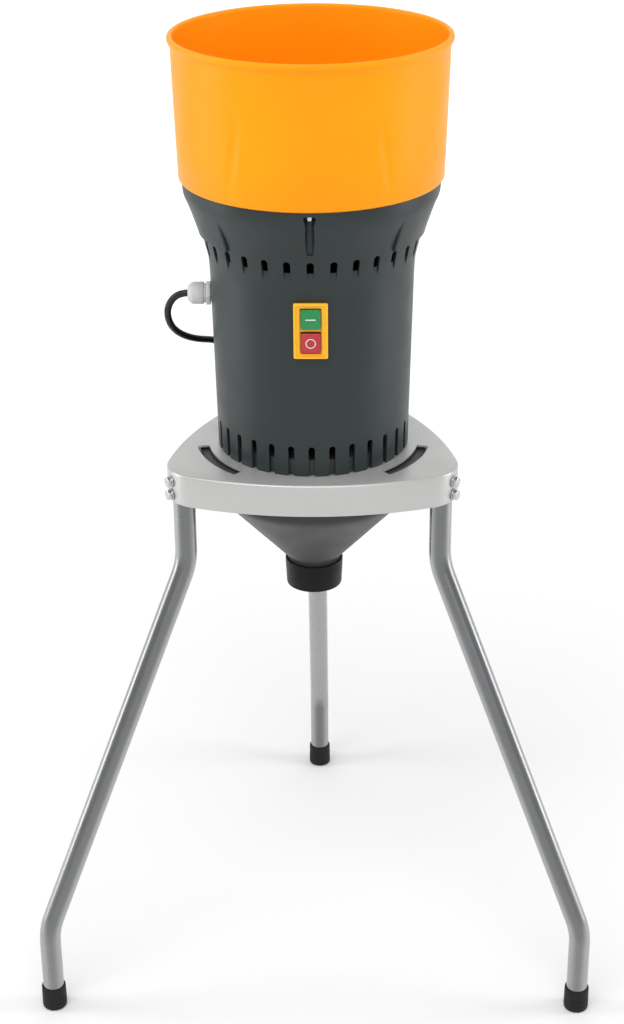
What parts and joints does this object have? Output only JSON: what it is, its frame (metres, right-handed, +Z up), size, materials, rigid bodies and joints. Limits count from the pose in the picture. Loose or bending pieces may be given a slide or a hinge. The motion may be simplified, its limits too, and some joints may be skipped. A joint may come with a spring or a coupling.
{
  "type": "grain hammer mill",
  "caption": "Electric grain hammer mill: orange tub hopper on a vented dark motor housing over a sheet plate with bent tube legs, funnel and spout below.",
  "frame": {"origin": "on the floor, at the middle of the box around the stand and mill; the mill axis stands a quarter of the foot circle in front of it", "axes": "+Z up along the mill axis, the switch faces -Y, the cable gland is on -X"},
  "size_m": [0.5818, 0.5074, 1],
  "materials": {
    "hopper_plastic": "smooth moulded orange polypropylene",
    "housing_plastic": "fine-grained dark grey ABS",
    "plate_steel": "light silver powder coat on sheet steel",
    "leg_steel": "satin steel tube",
    "rubber": "moulded black rubber",
    "funnel_plastic": "dark grey polypropylene",
    "zinc_steel": "bright zinc plate",
    "cast_shield": "dark casting",
    "machined_steel": "machined steel",
    "copper": "bare copper and brass",
    "switch_yellow": "yellow switch moulding",
    "button_green": "green push button",
    "button_red": "red push button",
    "gland_plastic": "light grey nylon",
    "cord_plastic": "black PVC"
  },
  "bodies": {
    "stand": {"brush_holder_left": "copper", "brush_holder_right": "copper", "cable_gland": "gland_plastic", "clamp_bolt_1": "zinc_steel", "clamp_bolt_2": "zinc_steel", "clamp_bolt_3": "zinc_steel", "clamp_bolt_4": "zinc_steel", "clamp_bolt_5": "zinc_steel", "clamp_bolt_6": "zinc_steel", "cord_coil": "cord_plastic", "cord_run": "cord_plastic", "cord_tail": "cord_plastic", "foot_cap_1": "rubber", "foot_cap_2": "rubber", "foot_cap_3": "rubber", "funnel": "funnel_plastic", "grain_chute": "machined_steel", "hopper": "hopper_plastic", "hopper_screw_1": "zinc_steel", "hopper_screw_2": "zinc_steel", "hopper_screw_3": "zinc_steel", "housing": "housing_plastic", "leg_1": "leg_steel", "leg_2": "leg_steel", "leg_3": "leg_steel", "leg_bolt_1a": "zinc_steel", "leg_bolt_1b": "zinc_steel", "leg_bolt_2a": "zinc_steel", "leg_bolt_2b": "zinc_steel", "leg_bolt_3a": "zinc_steel", "leg_bolt_3b": "zinc_steel", "lower_bearing": "zinc_steel", "motor_bracket": "cast_shield", "motor_flange": "cast_shield", "motor_stator": "machined_steel", "plug": "cord_plastic", "sieve": "machined_steel", "spout": "rubber", "stand_plate": "plate_steel", "switch_body": "switch_yellow", "switch_frame": "switch_yellow", "upper_bearing": "zinc_steel"},
    "rotor": {"motor_shaft": "machined_steel", "armature": "machined_steel", "commutator": "copper", "cooling_fan": "housing_plastic", "rotor_disc_upper": "machined_steel", "rotor_disc_lower": "machined_steel", "rotor_spacer": "machined_steel", "rotor_nut": "zinc_steel", "hammer_pin_1": "zinc_steel", "hammer_pin_2": "zinc_steel", "hammer_pin_3": "zinc_steel", "hammer_pin_4": "zinc_steel"},
    "hammer_1": {"hammer_1": "machined_steel"},
    "hammer_2": {"hammer_2": "machined_steel"},
    "hammer_3": {"hammer_3": "machined_steel"},
    "hammer_4": {"hammer_4": "machined_steel"},
    "start_button": {"start_button": "button_green"},
    "stop_button": {"stop_button": "button_red"}
  },
  "joints": [
    {"name": "rotor_spin", "type": "hinge", "parent": "stand", "child": "rotor", "pos_m": [0, -0.08025, 0.6], "axis": [0, 0, 1], "continuous": true},
    {"name": "hammer_1_swing", "type": "hinge", "parent": "rotor", "child": "hammer_1", "pos_m": [0.02121, -0.10146, 0.566], "axis": [0, 0, 1], "range_deg": [-60, 60]},
    {"name": "hammer_2_swing", "type": "hinge", "parent": "rotor", "child": "hammer_2", "pos_m": [0.02121, -0.05904, 0.566], "axis": [0, 0, 1], "range_deg": [-60, 60]},
    {"name": "hammer_3_swing", "type": "hinge", "parent": "rotor", "child": "hammer_3", "pos_m": [-0.02121, -0.05904, 0.566], "axis": [0, 0, 1], "range_deg": [-60, 60]},
    {"name": "hammer_4_swing", "type": "hinge", "parent": "rotor", "child": "hammer_4", "pos_m": [-0.02121, -0.10146, 0.566], "axis": [0, 0, 1], "range_deg": [-60, 60]},
    {"name": "start_button_press", "type": "slide", "parent": "stand", "child": "start_button", "axis": [0, 1, 0], "range_m": [0, 0.0035], "stiffness_N_per_m": 500},
    {"name": "stop_button_press", "type": "slide", "parent": "stand", "child": "stop_button", "axis": [0, 1, 0], "range_m": [0, 0.0035], "stiffness_N_per_m": 500}
  ]
}
